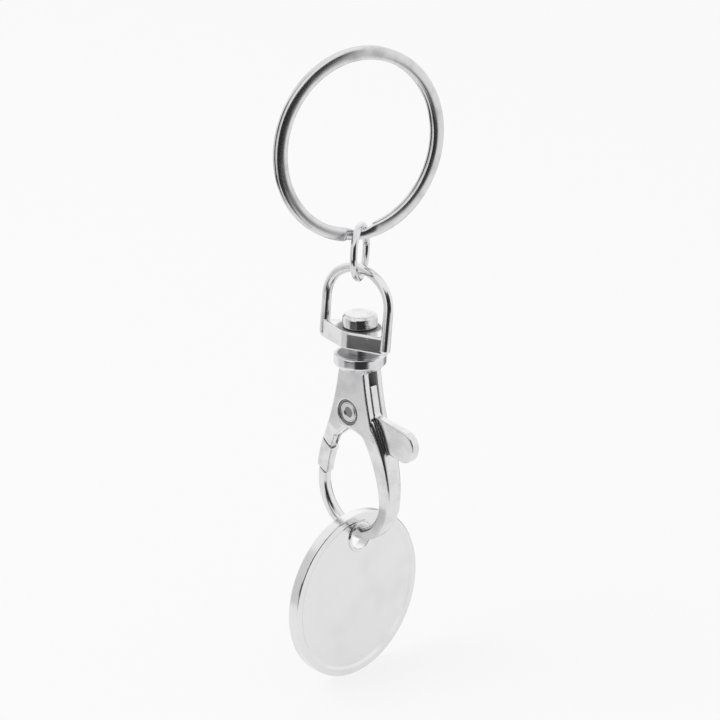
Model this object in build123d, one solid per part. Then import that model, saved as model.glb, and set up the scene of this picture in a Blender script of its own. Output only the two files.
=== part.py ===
from build123d import *
from math import asin, cos, degrees, radians, sin
import os

# Token keyring: split ring, jump ring, swivel eye, snap hook and a coin-sized token.
# All lengths are millimetres. X runs across the front of the snap hook, towards its thumb tab,
# Y runs from front to back and Z is up. The origin is the hanging point, at the top inside
# of the split ring, and the swivel axis is Z.

# Split ring: one flattened wire wound almost twice round, its two coils side by side.
split_outer_radius = 12.55
split_wire_width = 1.68
split_coil_thickness = 0.64
split_coil_gap = 0.05
split_corner_radius = 0.26
split_crossing_width = 1.2
split_crossing_stations = 6
split_yaw = 76.1
split_front_end_angle = 258.7
split_rear_end_angle = 281.3

# Jump ring: round wire, closed to a butt seam.
jump_wire_diameter = 0.95
jump_inner_radius = 2.92
jump_seam_gap = 0.08
jump_yaw = 119.6

# Gaps that the hanging links keep from each other.
jump_link_gap = 0.1
eye_link_gap = 0.07

# Swivel eye: a bent round bar with a flat base plate cast between its feet.
eye_wire_diameter = 1.27
eye_half_width = 5.44
eye_shoulder_radius = 4.15
eye_shoulder_drop = 4.59
eye_height = 10.28
eye_lean = 6.2
plate_thickness = 2.39
plate_boss_radius = 3.01
plate_bevel = 0.21

# Swivel rivet: head above the plate, shank through it, tail pressed into the hook.
swivel_head_radius = 2.3
swivel_head_height = 1.66
swivel_head_bevel = 0.36
swivel_head_gap = 0.12
swivel_shank_radius = 1.45
swivel_tail_radius = 0.88
swivel_tail_length = 1.76
swivel_running_clearance = 0.07
press_clearance = 0.02

# Snap hook body: flange, flat block, arm on the nose side and a bar bent to a hook.
flange_radius = 3.45
flange_thickness = 1.29
flange_gap = 1.2
flange_rim_bevel = 0.12
flange_under_bevel = 0.73
block_thickness = 3.43
block_edge_bevel = 0.29
neck_half_width = 2.13
block_middle_depth = 8.3
block_middle_left = 3.68
block_middle_right = 3.32
block_low_drop = 0.36
block_low_left = 4.46
block_right_drop = 1.3
block_low_right = 4.26

# Hook opening, seen from the front. Drops are taken from the opening's top.
opening_top_wall = 0.42
opening_top_x = -0.67
opening_left_x = -3.11
opening_right_x = 1.97
opening_right_drop = 0.67

# Hook bar: half a circle below two gentle bends. Depths are taken from the flange's top,
# and rises from the half circle's centre.
hook_centre_x = -0.57
hook_centre_depth = 19.56
hook_radius = 5.92
spine_bend_radius = 18.68
nose_bend_radius = 16.61
spine_root_rise = 9.34
nose_end_rise = 3.45
arm_low_rise = 4.58
arm_middle_rise = 7.28
arm_high_rise = 9.29
gate_low_rise = 1.45
gate_high_rise = 6.76
gate_arm_top_rise = 7.8
spine_root_width = 2.75
spine_root_thickness = 3.1
spine_low_width = 2.08
spine_low_thickness = 2.39
hook_width = 1.68
hook_thickness = 1.68
nose_width = 1.54
nose_thickness = 1.51
gate_width = 1.97
gate_thickness = 1.56
arm_low_width = 2.02
arm_low_thickness = 1.66
arm_middle_width = 2.08
arm_middle_thickness = 2.49
arm_high_width = 3.32
arm_high_thickness = 3.32
arm_high_shift = 0.57
bar_bevel_share = 0.27
stations_per_bend = 3
stations_per_quarter = 4

# Gate lever on its pivot rivet.
pivot_x = -0.65
pivot_depth = 8.09
pivot_rivet_radius = 0.83
pivot_head_radius = 1.19
pivot_head_thickness = 0.31
pivot_counterbore_radius = 1.76
pivot_counterbore_depth = 0.12
pivot_dimple_radius = 0.73
pivot_dimple_depth = 0.16
pivot_running_clearance = 0.04
lever_thickness = 1.25
lever_hub_radius = 1.66
lever_side_clearance = 0.12
lever_edge_clearance = 0.16
lever_edge_bevel = 0.16
gate_arm_thickness = 0.73
gate_arm_side_clearance = 0.08
gate_arm_outward = 0.36
gate_arm_inward = 0.78
gate_arm_clearance = 0.1
gate_arm_outer_hub_angle = 160.0
gate_arm_inner_hub_angle = 265.0
gate_room_inward = 1.56
gate_room_x = 0.1
gate_room_depth = 11.31
gate_top_radius = 7.39
gate_bottom_radius = 11.47
gate_seam = 0.08

# Lever outline, seen from the front: upper arm, bend and thumb tab.
arm_top_depth = 4.05
arm_left_x = 2.02
arm_right_x = 3.39
arm_foot_depth = 6.12
arm_tip_radius = 0.62
tab_bend_x = 3.99
tab_bend_depth = 8.1
tab_top_x = 10.69
tab_top_depth = 9.29
tab_bottom_x = 9.24
tab_bottom_depth = 13.34
tab_root_x = 5.29
tab_root_depth = 12.56
tab_corner_radius = 1.35
lever_heel_x = 0.73
lever_heel_depth = 9.45

# Slot in the block for the lever, open on the tab side.
slot_top_depth = 2.22
slot_left_x = -1.14
slot_reach = 8.3

# Return spring between the upper arm and a pocket in the nose-side wall.
spring_depth = 5.19
spring_mean_radius = 0.52
spring_wire_diameter = 0.21
spring_turns = 6
spring_pocket_radius = 0.78
spring_pocket_x = -1.97
spring_end_gap = 0.03

# Token: coin-sized disc with a hole near its edge and sunk faces.
token_radius = 11.62
token_thickness = 1.61
token_face_radius = 10.69
token_face_depth = 0.23
token_edge_bevel = 0.16
token_hole_radius = 1.7
token_hole_rim_radius = 2.12
token_hole_offset = 8.13
token_hang_gap = 0.19
token_tilt = 4.5

# Overrun of every cut past the face that it leaves through.
cut_overrun = 1.0


# Heights that follow from how the links hang on each other.
split_inner_radius = split_outer_radius - split_wire_width
split_mid_radius = split_outer_radius - split_wire_width / 2
split_centre_z = -split_inner_radius
crossing_top_z = split_centre_z - split_outer_radius + split_crossing_width
jump_centre_z = crossing_top_z + jump_link_gap - jump_inner_radius
eye_wire_radius = eye_wire_diameter / 2
eye_apex_z = jump_centre_z - jump_inner_radius + eye_link_gap + eye_wire_radius
plate_bottom_z = eye_apex_z - eye_height
plate_top_z = plate_bottom_z + plate_thickness
flange_top_z = plate_bottom_z - flange_gap
hook_centre_z = flange_top_z - hook_centre_depth
pivot_z = flange_top_z - pivot_depth
rivet_neck_length = block_thickness - 2 * (pivot_counterbore_depth + pivot_head_thickness)
token_hole_z = hook_centre_z - hook_radius + hook_width / 2 + token_hang_gap - token_hole_radius
opening_top_depth = pivot_depth + lever_hub_radius + lever_edge_clearance + opening_top_wall
opening_right_depth = opening_top_depth + opening_right_drop
block_low_depth = opening_top_depth + block_low_drop
block_right_depth = opening_top_depth + block_right_drop
front = Plane.XZ


def nose_angle(rise):
    """Angle up the nose-side bend, in degrees, at which the bend has risen by a height."""
    return degrees(asin(rise / nose_bend_radius))


spine_bend_angle = degrees(asin(spine_root_rise / spine_bend_radius))
nose_bend_angle = nose_angle(nose_end_rise)
arm_low_angle = nose_angle(arm_low_rise)
gate_arm_top_angle = nose_angle(gate_arm_top_rise)


def front_point(x, depth):
    """Point of the front view, with its depth below the flange's top, as sketch coordinates."""
    return (x, flange_top_z - depth)


def front_slab(face, thickness):
    """Flat piece from a front-view face, half of it on each side of the middle plane."""
    return extrude(front * face, amount=thickness / 2, both=True)


def pivot_disc(radius, thickness):
    """Disc about the pivot axis, half of it on each side of the middle plane."""
    return front_slab(Pos(pivot_x, pivot_z) * Circle(radius), thickness)


def upright_plane(centre_z, yaw):
    """Vertical plane through the swivel axis, turned by a yaw from the front view."""
    along = (cos(radians(yaw)), sin(radians(yaw)), 0)
    across = (sin(radians(yaw)), -cos(radians(yaw)), 0)
    return Plane(origin=(0, 0, centre_z), x_dir=along, z_dir=across)


def write(shape, node):
    """Write one node and keep its name as the label."""
    shape.label = node
    export_step(shape, f"parts/{node}.step")


def split_ring():
    """Flat wire that runs round the front coil, steps over at the bottom and runs round the rear coil."""
    coil_offset = (split_coil_thickness + split_coil_gap) / 2
    section = RectangleRounded(split_wire_width, split_coil_thickness, split_corner_radius)
    start_angle = split_rear_end_angle - 360
    crossing_angle = split_rear_end_angle - split_front_end_angle

    def coil(offset):
        face = Plane.XZ * (Pos(split_mid_radius, offset) * section)
        return revolve(Rot(0, 0, start_angle) * face, Axis.Z, 360 - crossing_angle)

    def crossing_section(share):
        step = share * share * (3 - 2 * share)
        waist = sin(share * radians(180)) ** 2
        width = split_wire_width - waist * (split_wire_width - split_crossing_width)
        face = RectangleRounded(width, split_coil_thickness, split_corner_radius)
        place = Pos(split_outer_radius - width / 2, coil_offset * (2 * step - 1))
        return Rot(0, 0, split_front_end_angle + share * crossing_angle) * (Plane.XZ * (place * face))

    shares = [count / split_crossing_stations for count in range(split_crossing_stations + 1)]
    crossing = loft([crossing_section(share) for share in shares])
    wound = coil(coil_offset) + coil(-coil_offset) + crossing
    return upright_plane(split_centre_z, split_yaw) * wound


def jump_ring():
    """Round wire ring with a butt seam on its rear leg."""
    wire_radius = jump_wire_diameter / 2
    mid_radius = jump_inner_radius + wire_radius
    seam_angle = degrees(jump_seam_gap / mid_radius)
    section = Plane.XZ * (Pos(mid_radius, 0) * Circle(wire_radius))
    ring = revolve(Rot(0, 0, seam_angle / 2) * section, Axis.Z, 360 - seam_angle)
    return upright_plane(jump_centre_z, jump_yaw) * ring


def swivel_eye():
    """Bent bar of two legs, two shoulders and a crown, with the pierced plate between its feet."""
    side = eye_half_width - eye_shoulder_radius
    rise = eye_shoulder_radius - eye_shoulder_drop
    crown_radius = (eye_shoulder_radius**2 - side**2 - eye_shoulder_drop**2) / (2 * rise)
    turn = asin(side / (crown_radius - eye_shoulder_radius))
    shoulder_x = crown_radius * sin(turn)
    shoulder_z = crown_radius * (cos(turn) - 1)
    middle_turn = (radians(90) + turn) / 2
    bend_x = side + eye_shoulder_radius * sin(middle_turn)
    bend_z = eye_shoulder_radius * cos(middle_turn) - eye_shoulder_drop
    foot_z = eye_wire_radius - eye_height
    crown = ThreePointArc((-shoulder_x, 0, shoulder_z), (0, 0, 0), (shoulder_x, 0, shoulder_z))
    left_leg = Line((-eye_half_width, 0, foot_z), (-eye_half_width, 0, -eye_shoulder_drop))
    right_leg = Line((eye_half_width, 0, -eye_shoulder_drop), (eye_half_width, 0, foot_z))
    left_shoulder = ThreePointArc(left_leg @ 1, (-bend_x, 0, bend_z), crown @ 0)
    right_shoulder = ThreePointArc(crown @ 1, (bend_x, 0, bend_z), right_leg @ 0)
    path = Wire([left_leg, left_shoulder, crown, right_shoulder, right_leg])
    bar = sweep(Plane((-eye_half_width, 0, foot_z)) * Circle(eye_wire_radius), path=path)
    for foot_x in (-eye_half_width, eye_half_width):
        bar += Pos(foot_x, 0, foot_z) * Sphere(eye_wire_radius)
    loop = Pos(0, 0, eye_apex_z) * (Rot(-eye_lean, 0, 0) * bar)

    foot_y = -eye_height * sin(radians(eye_lean))
    outline = make_hull([
        *Circle(plate_boss_radius).edges(),
        *(Pos(-eye_half_width, foot_y) * Circle(eye_wire_radius)).edges(),
        *(Pos(eye_half_width, foot_y) * Circle(eye_wire_radius)).edges(),
    ])
    plate = extrude(Pos(0, 0, plate_bottom_z) * outline, plate_thickness)
    faces = plate.faces().sort_by(Axis.Z)
    plate = chamfer(faces[0].edges() + faces[-1].edges(), plate_bevel)
    eye = loop + plate
    bore = Cylinder(swivel_shank_radius + swivel_running_clearance, plate_thickness + 2 * cut_overrun)
    return eye - Pos(0, 0, (plate_bottom_z + plate_top_z) / 2) * bore


def swivel_rivet():
    """Turned rivet: bevelled head, shank down to the flange and a thinner tail below it."""
    head_bottom_z = plate_top_z + swivel_head_gap
    head = Cylinder(swivel_head_radius, swivel_head_height, align=(Align.CENTER, Align.CENTER, Align.MIN))
    head = chamfer(head.edges().group_by(Axis.Z)[-1], swivel_head_bevel)
    rivet = Pos(0, 0, head_bottom_z) * head
    shank_length = head_bottom_z - flange_top_z
    rivet += Pos(0, 0, flange_top_z) * Cylinder(
        swivel_shank_radius, shank_length, align=(Align.CENTER, Align.CENTER, Align.MIN))
    tail = Cylinder(swivel_tail_radius, swivel_tail_length, align=(Align.CENTER, Align.CENTER, Align.MAX))
    return rivet + Pos(0, 0, flange_top_z) * tail


def bar_section(x, z, angle, width, thickness):
    """Bevelled rectangle across the hook bar, at right angles to its run."""
    bevel = bar_bevel_share * min(width, thickness)
    place = Plane(origin=(x, 0, z), x_dir=(cos(angle), 0, sin(angle)), z_dir=(-sin(angle), 0, cos(angle)))
    return place * chamfer(Rectangle(width, thickness).vertices(), bevel)


def spine_section(angle, width, thickness):
    """Section of the bar on the tab side, at an angle up the gentle bend."""
    x = hook_centre_x + hook_radius - spine_bend_radius * (1 - cos(angle))
    return bar_section(x, hook_centre_z + spine_bend_radius * sin(angle), angle, width, thickness)


def nose_section(rise, width, thickness, shift=0):
    """Section of the bar on the nose side, at a rise up the gentle bend, shifted towards the opening."""
    angle = radians(nose_angle(rise))
    x = hook_centre_x - hook_radius + nose_bend_radius * (1 - cos(angle))
    z = hook_centre_z + rise
    return bar_section(x + shift * cos(angle), z - shift * sin(angle), -angle, width, thickness)


def between(start, end, share):
    """Value at a share of the way from one size to another."""
    return start + share * (end - start)


def hook_bar():
    """Bar from the block down the spine, round the hook and up to the end of the nose."""
    sections = []
    for step in range(stations_per_bend):
        share = step / stations_per_bend
        sections.append(spine_section(radians(spine_bend_angle) * (1 - share),
                                      between(spine_root_width, spine_low_width, share),
                                      between(spine_root_thickness, spine_low_thickness, share)))
    for step in range(2 * stations_per_quarter + 1):
        share = step / stations_per_quarter
        angle = radians(90) * share
        if share < 1:
            width = between(spine_low_width, hook_width, share)
            thickness = between(spine_low_thickness, hook_thickness, share)
        else:
            width = between(hook_width, nose_width, share - 1)
            thickness = between(hook_thickness, nose_thickness, share - 1)
        x = hook_centre_x + hook_radius * cos(angle)
        z = hook_centre_z - hook_radius * sin(angle)
        sections.append(bar_section(x, z, -angle, width, thickness))
    nose_x = hook_centre_x - hook_radius + nose_bend_radius * (1 - cos(radians(nose_bend_angle)))
    nose_z = hook_centre_z + nose_end_rise
    sections.append(bar_section(nose_x, nose_z, radians(180 - nose_bend_angle), nose_width, nose_thickness))
    return loft(sections)


def block_face():
    """Front view of the block, between the flange, its two sloping sides and the opening's top."""
    left_side = ThreePointArc(front_point(-neck_half_width, flange_thickness / 2),
                              front_point(-block_middle_left, block_middle_depth),
                              front_point(-block_low_left, block_low_depth))
    arch = ThreePointArc(front_point(opening_left_x, block_low_depth),
                         front_point(opening_top_x, opening_top_depth),
                         front_point(opening_right_x, opening_right_depth))
    right_side = ThreePointArc(front_point(block_low_right, block_right_depth),
                               front_point(block_middle_right, block_middle_depth),
                               front_point(neck_half_width, flange_thickness / 2))
    return make_face([
        left_side,
        Line(left_side @ 1, arch @ 0),
        arch,
        Line(arch @ 1, right_side @ 0),
        right_side,
        Line(right_side @ 1, left_side @ 0),
    ])


def nose_point(angle, outward):
    """Point of the front view beside the nose-side bend, at an angle up it and a distance outwards."""
    reach = nose_bend_radius + outward
    x = hook_centre_x - hook_radius + nose_bend_radius - reach * cos(radians(angle))
    return (x, hook_centre_z + reach * sin(radians(angle)))


def hub_point(angle, radius):
    """Point of the front view about the pivot."""
    return (pivot_x + radius * cos(radians(angle)), pivot_z + radius * sin(radians(angle)))


def nose_side(radius):
    """Everything within a distance of the pivot, on the nose side only."""
    half_room = Pos(opening_left_x - radius, pivot_z - radius) * Rectangle(2 * radius, 2 * radius)
    return pivot_disc(radius, 2 * block_thickness) & front_slab(half_room, 2 * block_thickness)


def lever_slot():
    """Room for the lever in the block: open on the tab side, round about the hub."""
    slot_thickness = lever_thickness + 2 * lever_side_clearance
    outline = make_face(Polyline(
        front_point(slot_left_x, slot_top_depth),
        front_point(slot_reach, slot_top_depth),
        front_point(slot_reach, tab_root_depth + lever_edge_clearance),
        front_point(tab_root_x, tab_root_depth + lever_edge_clearance),
        front_point(lever_heel_x, lever_heel_depth + lever_edge_clearance),
        front_point(slot_left_x, pivot_depth),
        close=True))
    hub_room = pivot_disc(lever_hub_radius + lever_edge_clearance, slot_thickness)
    pocket_length = slot_left_x - spring_pocket_x + lever_edge_clearance
    pocket = Cylinder(spring_pocket_radius, pocket_length, align=(Align.CENTER, Align.CENTER, Align.MIN))
    pocket = Pos(spring_pocket_x, 0, flange_top_z - spring_depth) * (Rot(0, 90, 0) * pocket)
    return front_slab(outline, slot_thickness) + hub_room + pocket


def gate_channel():
    """Thin room for the gate arm, open towards the hook opening so that the gate can swing in."""
    outward = gate_arm_outward + gate_arm_clearance
    inward = -gate_arm_inward - gate_room_inward
    outer = ThreePointArc(nose_point(arm_low_angle, outward),
                          nose_point((arm_low_angle + gate_arm_top_angle) / 2, outward),
                          nose_point(gate_arm_top_angle, outward))
    inner = ThreePointArc(nose_point(gate_arm_top_angle, inward),
                          nose_point((arm_low_angle + gate_arm_top_angle) / 2, inward),
                          nose_point(arm_low_angle, inward))
    outline = make_face([
        outer,
        Line(outer @ 1, hub_point(gate_arm_outer_hub_angle, lever_hub_radius + gate_arm_clearance)),
        Line(hub_point(gate_arm_outer_hub_angle, lever_hub_radius + gate_arm_clearance), (pivot_x, pivot_z)),
        Line((pivot_x, pivot_z), front_point(gate_room_x, gate_room_depth)),
        Line(front_point(gate_room_x, gate_room_depth), inner @ 0),
        inner,
        Line(inner @ 1, outer @ 0),
    ])
    return front_slab(outline, gate_arm_thickness + 2 * gate_arm_side_clearance)


def clasp_body():
    """Flange, block, arm and hook bar in one casting, less the lever's room and the bores."""
    block = front_slab(block_face(), block_thickness)
    faces = block.faces().sort_by(Axis.Y)
    block = chamfer(faces[0].edges() + faces[-1].edges(), block_edge_bevel)
    arm = loft([nose_section(arm_low_rise, arm_low_width, arm_low_thickness),
                nose_section(arm_middle_rise, arm_middle_width, arm_middle_thickness),
                nose_section(arm_high_rise, arm_high_width, arm_high_thickness, arm_high_shift)])
    arm &= nose_side(gate_top_radius)
    bar = hook_bar() - nose_side(gate_bottom_radius)
    flange_profile = make_face(Polyline(
        (0, flange_top_z),
        (flange_radius - flange_rim_bevel, flange_top_z),
        (flange_radius, flange_top_z - flange_rim_bevel),
        (flange_radius, flange_top_z - flange_thickness),
        (flange_radius - flange_under_bevel, flange_top_z - flange_thickness - flange_under_bevel),
        (0, flange_top_z - flange_thickness - flange_under_bevel),
        close=True))
    flange = revolve(Plane.XZ * flange_profile, Axis.Z)
    body = (block + flange).fuse(arm, bar)
    body -= lever_slot()
    body -= gate_channel()
    tail_bore = Cylinder(swivel_tail_radius + press_clearance, swivel_tail_length + cut_overrun)
    body -= Pos(0, 0, flange_top_z - (swivel_tail_length - cut_overrun) / 2) * tail_bore
    body -= pivot_disc(pivot_rivet_radius + press_clearance, block_thickness + cut_overrun)
    head_room = pivot_disc(pivot_head_radius + press_clearance, block_thickness + cut_overrun)
    head_room -= pivot_disc(pivot_head_radius + cut_overrun, rivet_neck_length)
    ring_room = pivot_disc(pivot_counterbore_radius, block_thickness + cut_overrun)
    ring_floor_spacing = block_thickness - 2 * pivot_counterbore_depth
    ring_room -= pivot_disc(pivot_counterbore_radius + cut_overrun, ring_floor_spacing)
    return body - head_room - ring_room


def pivot_rivet():
    """Rivet across the block: two set heads, each with a dimple, on one shank."""
    overall = rivet_neck_length + 2 * pivot_head_thickness
    heads = pivot_disc(pivot_head_radius, overall)
    heads -= pivot_disc(pivot_head_radius + cut_overrun, rivet_neck_length)
    rivet = pivot_disc(pivot_rivet_radius, overall) + heads
    ball_radius = (pivot_dimple_radius**2 + pivot_dimple_depth**2) / (2 * pivot_dimple_depth)
    for side in (-1, 1):
        ball_y = side * (overall / 2 - pivot_dimple_depth + ball_radius)
        rivet -= Pos(pivot_x, ball_y, pivot_z) * Sphere(ball_radius)
    return rivet


def gate_lever():
    """Upper arm, hub and thumb tab in one plate, with the thin gate arm and the gate block."""
    plate_face = make_face(Polyline(
        front_point(arm_left_x, arm_top_depth),
        front_point(arm_left_x, arm_foot_depth),
        hub_point(90, lever_hub_radius),
        hub_point(270, lever_hub_radius),
        front_point(lever_heel_x, lever_heel_depth),
        front_point(tab_root_x, tab_root_depth),
        front_point(tab_bottom_x, tab_bottom_depth),
        front_point(tab_top_x, tab_top_depth),
        front_point(tab_bend_x, tab_bend_depth),
        front_point(arm_right_x, arm_top_depth),
        close=True))
    corners = plate_face.vertices().sort_by(Axis.X)
    plate_face = fillet(corners[-2:], tab_corner_radius)
    arm_top = plate_face.vertices().group_by(Axis.Y)[-1]
    plate_face = fillet(arm_top, arm_tip_radius)
    plate = front_slab(plate_face, lever_thickness)
    faces = plate.faces().sort_by(Axis.Y)
    plate = chamfer(faces[0].edges() + faces[-1].edges(), lever_edge_bevel)
    hub = pivot_disc(lever_hub_radius, lever_thickness)

    arm_outer = ThreePointArc(nose_point(nose_bend_angle, gate_arm_outward),
                              nose_point((nose_bend_angle + gate_arm_top_angle) / 2, gate_arm_outward),
                              nose_point(gate_arm_top_angle, gate_arm_outward))
    arm_inner = ThreePointArc(nose_point(gate_arm_top_angle, -gate_arm_inward),
                              nose_point((nose_bend_angle + gate_arm_top_angle) / 2, -gate_arm_inward),
                              nose_point(nose_bend_angle, -gate_arm_inward))
    arm_face = make_face([
        arm_outer,
        Line(arm_outer @ 1, hub_point(gate_arm_outer_hub_angle, lever_hub_radius)),
        Line(hub_point(gate_arm_outer_hub_angle, lever_hub_radius), (pivot_x, pivot_z)),
        Line((pivot_x, pivot_z), hub_point(gate_arm_inner_hub_angle, lever_hub_radius)),
        Line(hub_point(gate_arm_inner_hub_angle, lever_hub_radius), arm_inner @ 0),
        arm_inner,
        Line(arm_inner @ 1, arm_outer @ 0),
    ])
    gate_arm = front_slab(arm_face, gate_arm_thickness)
    gate = loft([nose_section(rise, gate_width, gate_thickness)
                 for rise in (gate_low_rise, nose_end_rise, arm_low_rise, gate_high_rise)])
    gate &= nose_side(gate_bottom_radius - gate_seam)
    gate -= pivot_disc(gate_top_radius + gate_seam, 2 * block_thickness)
    lever = plate + hub + gate_arm + gate
    return lever - pivot_disc(pivot_rivet_radius + pivot_running_clearance, 2 * block_thickness)


def lever_spring():
    """Compression spring that lies along X between the pocket and the upper arm."""
    wire_radius = spring_wire_diameter / 2
    start_x = spring_pocket_x + spring_end_gap + wire_radius
    end_x = arm_left_x - spring_end_gap - wire_radius
    length = end_x - start_x
    path = Helix(length / spring_turns, length, spring_mean_radius)
    wire = sweep(Plane(origin=path @ 0, z_dir=path % 0) * Circle(wire_radius), path=path, is_frenet=True)
    return Pos(start_x, 0, flange_top_z - spring_depth) * (Rot(0, 90, 0) * wire)


def coin_token():
    """Coin-sized disc with sunk faces and a raised rim about its hanging hole."""
    disc = Cylinder(token_radius, token_thickness)
    disc = chamfer(disc.edges().filter_by(GeomType.CIRCLE), token_edge_bevel)
    hole_place = Pos(0, token_hole_offset, 0)
    sunk = Cylinder(token_face_radius, token_face_depth + cut_overrun)
    sunk -= hole_place * Cylinder(token_hole_rim_radius, token_face_depth + 2 * cut_overrun)
    for side in (-1, 1):
        disc -= Pos(0, 0, side * (token_thickness + cut_overrun - token_face_depth) / 2) * sunk
    disc -= hole_place * Cylinder(token_hole_radius, token_thickness + 2 * cut_overrun)
    hung = Pos(0, -token_hole_offset, 0) * disc
    hanging = Plane(origin=(hook_centre_x, 0, token_hole_z), x_dir=(0, 1, 0), z_dir=(1, 0, 0))
    return hanging * (Rot(0, 0, -token_tilt) * hung)


os.makedirs("parts", exist_ok=True)
write(split_ring(), "split_ring")
write(jump_ring(), "jump_ring")
write(swivel_eye(), "swivel_eye")
write(swivel_rivet(), "swivel_rivet")
write(clasp_body(), "clasp_body")
write(gate_lever(), "gate_lever")
write(pivot_rivet(), "pivot_rivet")
write(lever_spring(), "lever_spring")
write(coin_token(), "coin_token")
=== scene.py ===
from cmath import phase
from math import acos, asin, atan2, cos, hypot, pi, radians, sin, sqrt, tan
import bmesh
import bpy
import numpy as np
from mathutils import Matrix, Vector


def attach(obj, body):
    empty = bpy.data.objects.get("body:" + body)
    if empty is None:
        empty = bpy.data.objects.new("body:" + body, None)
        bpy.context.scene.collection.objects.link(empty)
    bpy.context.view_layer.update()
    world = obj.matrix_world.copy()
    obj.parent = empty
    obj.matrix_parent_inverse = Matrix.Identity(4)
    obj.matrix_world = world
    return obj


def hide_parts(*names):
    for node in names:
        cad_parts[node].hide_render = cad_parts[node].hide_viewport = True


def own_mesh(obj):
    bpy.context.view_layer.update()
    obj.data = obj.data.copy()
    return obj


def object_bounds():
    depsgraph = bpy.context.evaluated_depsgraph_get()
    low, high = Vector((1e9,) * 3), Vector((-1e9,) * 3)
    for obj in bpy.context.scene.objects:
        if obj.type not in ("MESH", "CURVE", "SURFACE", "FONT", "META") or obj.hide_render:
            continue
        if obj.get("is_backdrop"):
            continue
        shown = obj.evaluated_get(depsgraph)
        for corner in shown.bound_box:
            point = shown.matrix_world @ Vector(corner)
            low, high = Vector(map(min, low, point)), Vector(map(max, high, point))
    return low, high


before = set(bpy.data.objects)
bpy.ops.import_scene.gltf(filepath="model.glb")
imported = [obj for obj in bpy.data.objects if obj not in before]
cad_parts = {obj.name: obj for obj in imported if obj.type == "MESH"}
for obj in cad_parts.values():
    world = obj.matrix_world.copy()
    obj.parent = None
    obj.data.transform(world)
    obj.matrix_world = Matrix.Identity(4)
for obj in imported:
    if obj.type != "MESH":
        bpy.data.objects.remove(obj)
cad_low, cad_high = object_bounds()

# The token keyring stands upright on a pale floor and is seen from its front right, a little from above.
# The camera is a third of a metre away with a long lens, so the rings and the disc keep their true shape.
# Forms are written in millimetres here and turned into metres as the last step of each mesh.
metres_per_mm = 0.001
view_azimuth = radians(43.5)
view_elevation = radians(20.04)
view_distance = 329.46
view_centre = Vector((0, 0, -39.8145))


def direction(azimuth, elevation):
    """Unit vector from the object: azimuth 0 is the front of the hook, 90 degrees its tab side."""
    return Vector((sin(azimuth) * cos(elevation), -cos(azimuth) * cos(elevation), sin(elevation)))


def placed(name, content):
    """An object of the scene with this mesh, lens or lamp in it."""
    made = bpy.data.objects.new(name, content)
    bpy.context.scene.collection.objects.link(made)
    return made


sight_line = direction(view_azimuth, view_elevation)
lens = bpy.data.cameras.new("camera")
lens.sensor_width = 36
lens.lens = 126.75
lens.clip_start = 0.01
lens.clip_end = 20
camera = placed("camera", lens)
camera.location = (view_centre + view_distance * sight_line) * metres_per_mm
camera.rotation_euler = sight_line.to_track_quat("Z", "Y").to_euler()
bpy.context.scene.camera = camera
bpy.context.scene.view_settings.view_transform = "Standard"


# The studio: a white surround, a pale floor under the disc's lower edge, five curved cards and two lamps.
# Bright metal shows its form by what it mirrors, so dark and grey cards stand round the object.
# Only mirrored rays meet the cards, and they cast no shadow.
def add_node(tree, kind, feeds=(), **settings):
    """One node of a tree with its settings. Its feeds are other nodes' sockets and plain values."""
    made = tree.nodes.new(kind)
    for name, value in settings.items():
        setattr(made, name, value)
    for socket, value in dict(feeds).items():
        if isinstance(value, bpy.types.NodeSocket):
            tree.links.new(value, made.inputs[socket])
        else:
            made.inputs[socket].default_value = value
    return made


def calc(tree, operation, *values):
    """Output of one math node."""
    return add_node(tree, "ShaderNodeMath", enumerate(values), operation=operation).outputs[0]


def seen_directly(tree):
    """1 for rays from the camera, a mirror or a clear piece, and 0 for light that is scattered."""
    path = add_node(tree, "ShaderNodeLightPath").outputs
    seen = calc(tree, "MAXIMUM", path["Is Camera Ray"], path["Is Glossy Ray"])
    return calc(tree, "MAXIMUM", seen, path["Is Transmission Ray"])


surround_light = 0.72
surround = bpy.data.worlds.new("surround")
surround.use_nodes = True
sky = surround.node_tree
sky.nodes.clear()
sky_strength = calc(sky, "MULTIPLY_ADD", seen_directly(sky), 1 - surround_light, surround_light)
sky_light = add_node(sky, "ShaderNodeBackground", {"Color": (1, 1, 1, 1), "Strength": sky_strength})
add_node(sky, "ShaderNodeOutputWorld", {"Surface": sky_light.outputs[0]})
bpy.context.scene.world = surround


def stage_paint(name, under, tone, glow_share):
    """Paint of the studio: a shader, given as kind and feeds, and over it a share of glow in a grey tone."""
    paint = bpy.data.materials.new(name)
    paint.use_nodes = True
    tree = paint.node_tree
    tree.nodes.clear()
    base = add_node(tree, *under)
    glow = add_node(tree, "ShaderNodeEmission", {"Color": (tone, tone, tone, 1)})
    blend = add_node(tree, "ShaderNodeMixShader", {
        0: glow_share(tree), 1: base.outputs[0], 2: glow.outputs[0]})
    add_node(tree, "ShaderNodeOutputMaterial", {"Surface": blend.outputs[0]})
    return paint


def stage_sheet(name, points, faces, paint):
    """A sheet of the studio, no part of the object, from points in millimetres."""
    mesh = bpy.data.meshes.new(name)
    mesh.from_pydata([Vector(point) * metres_per_mm for point in points], [], faces)
    mesh.materials.append(paint)
    sheet = placed(name, mesh)
    sheet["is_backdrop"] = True
    return sheet


floor_colour = (0.93, 0.93, 0.93, 1)
floor_glow_share = 0.78
floor_z = cad_low.z / metres_per_mm
floor_half = 6000


def floor_glow(tree):
    """Share of the floor that glows white, for the rays that show it and not for light on the object."""
    return calc(tree, "MULTIPLY", seen_directly(tree), floor_glow_share)


floor_paint = stage_paint("pale_floor", ("ShaderNodeBsdfDiffuse", {"Color": floor_colour}), 1, floor_glow)
floor_corners = [(x * floor_half, y * floor_half, floor_z) for x, y in ((-1, -1), (1, -1), (1, 1), (-1, 1))]
stage_sheet("floor", floor_corners, [(0, 1, 2, 3)], floor_paint)

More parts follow.
